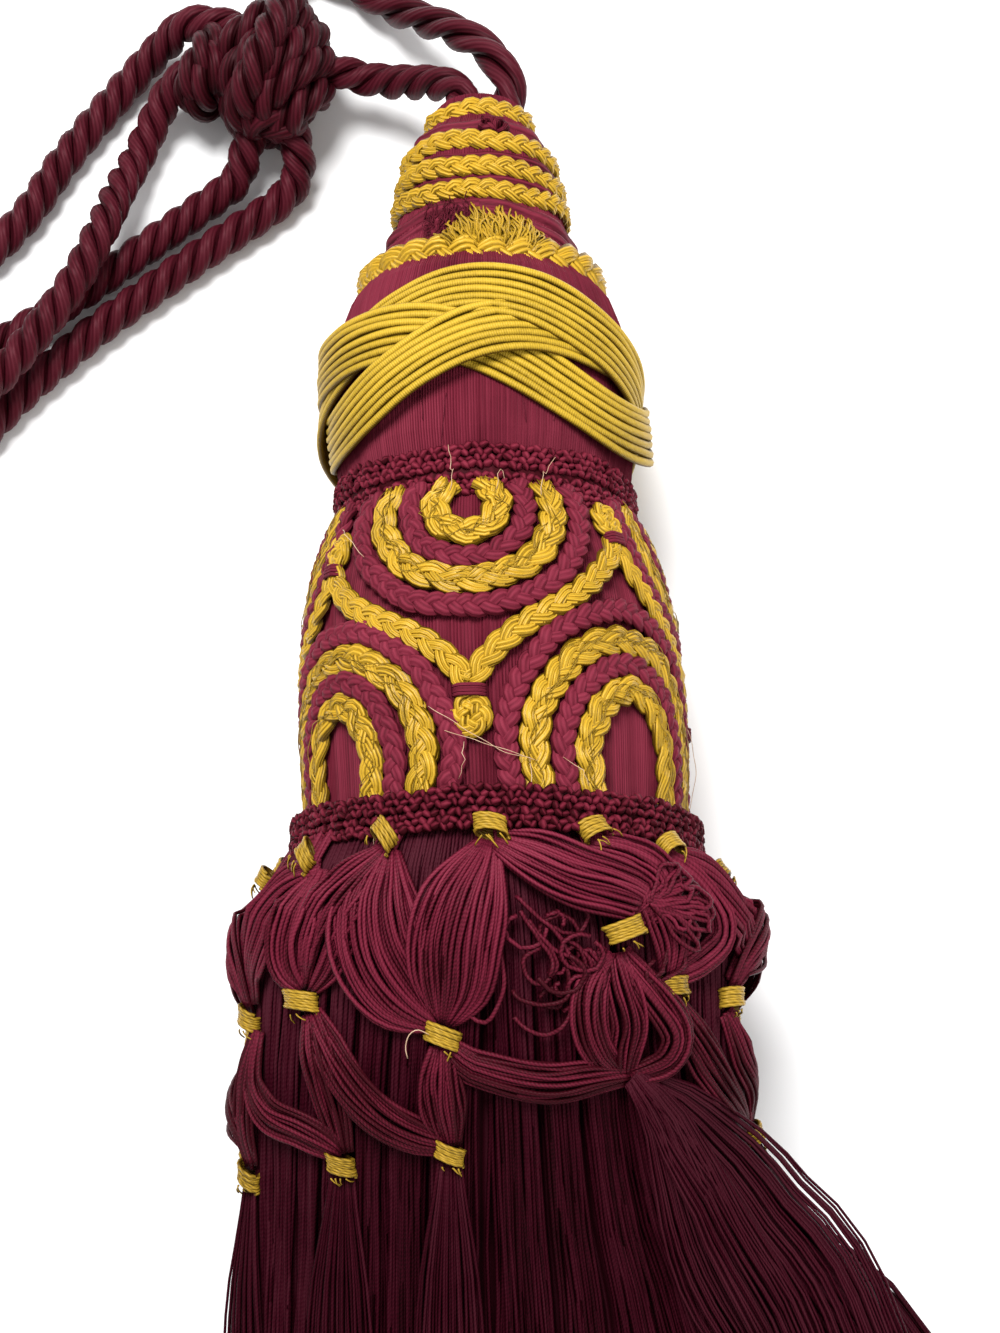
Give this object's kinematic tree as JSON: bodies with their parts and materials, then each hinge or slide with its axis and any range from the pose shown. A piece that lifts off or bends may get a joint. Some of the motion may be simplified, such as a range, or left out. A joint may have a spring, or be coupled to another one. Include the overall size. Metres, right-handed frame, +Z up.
{
  "type": "curtain tieback tassel",
  "caption": "Large curtain tieback tassel lying on its side: bell and barrel head covered in thread and plaits, netted skirt over a long fringe, and a knotted twisted rope.",
  "frame": {"origin": "on the surface that the tassel lies on, at the bottom centre of the tassel without its rope", "axes": "+Y from the fringe towards the neck, +X to the right as seen from above with the neck away, +Z up from the surface"},
  "size_m": [0.3099, 0.3758, 0.085],
  "materials": {
    "burgundy_rope": "silky twisted yarn",
    "burgundy_thread": "fine wound rayon thread",
    "burgundy_trim": "matt looped crochet",
    "burgundy_plait": "soft plaited yarn",
    "gold_plait": "silky loose plaited yarn",
    "gold_gimp": "ribbed gimp cord",
    "fringe_yarn": "fine silky yarn",
    "net_cord": "fine corded thread"
  },
  "bodies": {
    "root": {"arch_1_gold_10": "gold_plait", "arch_1_gold_20": "gold_plait", "arch_1_wine_15": "burgundy_plait", "arch_1_wine_24": "burgundy_plait", "arch_2_gold_10": "gold_plait", "arch_2_gold_20": "gold_plait", "arch_2_wine_15": "burgundy_plait", "arch_2_wine_24": "burgundy_plait", "arch_3_gold_10": "gold_plait", "arch_3_gold_20": "gold_plait", "arch_3_wine_15": "burgundy_plait", "arch_3_wine_24": "burgundy_plait", "arch_4_gold_10": "gold_plait", "arch_4_gold_20": "gold_plait", "arch_4_wine_15": "burgundy_plait", "arch_4_wine_24": "burgundy_plait", "barrel": "burgundy_thread", "barrel_trim": "burgundy_trim", "bell": "burgundy_thread", "bell_trim": "burgundy_trim", "drop_loop_1": "gold_plait", "drop_loop_2": "gold_plait", "drop_loop_3": "gold_plait", "drop_loop_4": "gold_plait", "ear_loop_1": "gold_plait", "ear_loop_2": "gold_plait", "ear_loop_3": "gold_plait", "ear_loop_4": "gold_plait", "fringe": "fringe_yarn", "neck": "burgundy_thread", "neck_plait_1": "gold_plait", "neck_plait_2": "gold_plait", "neck_plait_3": "gold_plait", "neck_plait_4": "gold_plait", "neck_plait_5": "gold_plait", "net": "net_cord", "rope_knot": "burgundy_rope", "rope_leg_high": "burgundy_rope", "rope_leg_low": "burgundy_rope", "rope_loop_inner": "burgundy_rope", "rope_loop_outer": "burgundy_rope", "top_1_gold_18": "gold_plait", "top_1_gold_9": "gold_plait", "top_1_wine_14": "burgundy_plait", "top_1_wine_23": "burgundy_plait", "top_2_gold_18": "gold_plait", "top_2_gold_9": "gold_plait", "top_2_wine_14": "burgundy_plait", "top_2_wine_23": "burgundy_plait", "top_3_gold_18": "gold_plait", "top_3_gold_9": "gold_plait", "top_3_wine_14": "burgundy_plait", "top_3_wine_23": "burgundy_plait", "top_4_gold_18": "gold_plait", "top_4_gold_9": "gold_plait", "top_4_wine_14": "burgundy_plait", "top_4_wine_23": "burgundy_plait", "woven_band": "gold_gimp", "zigzag_plait": "gold_plait"}
  },
  "joints": []
}
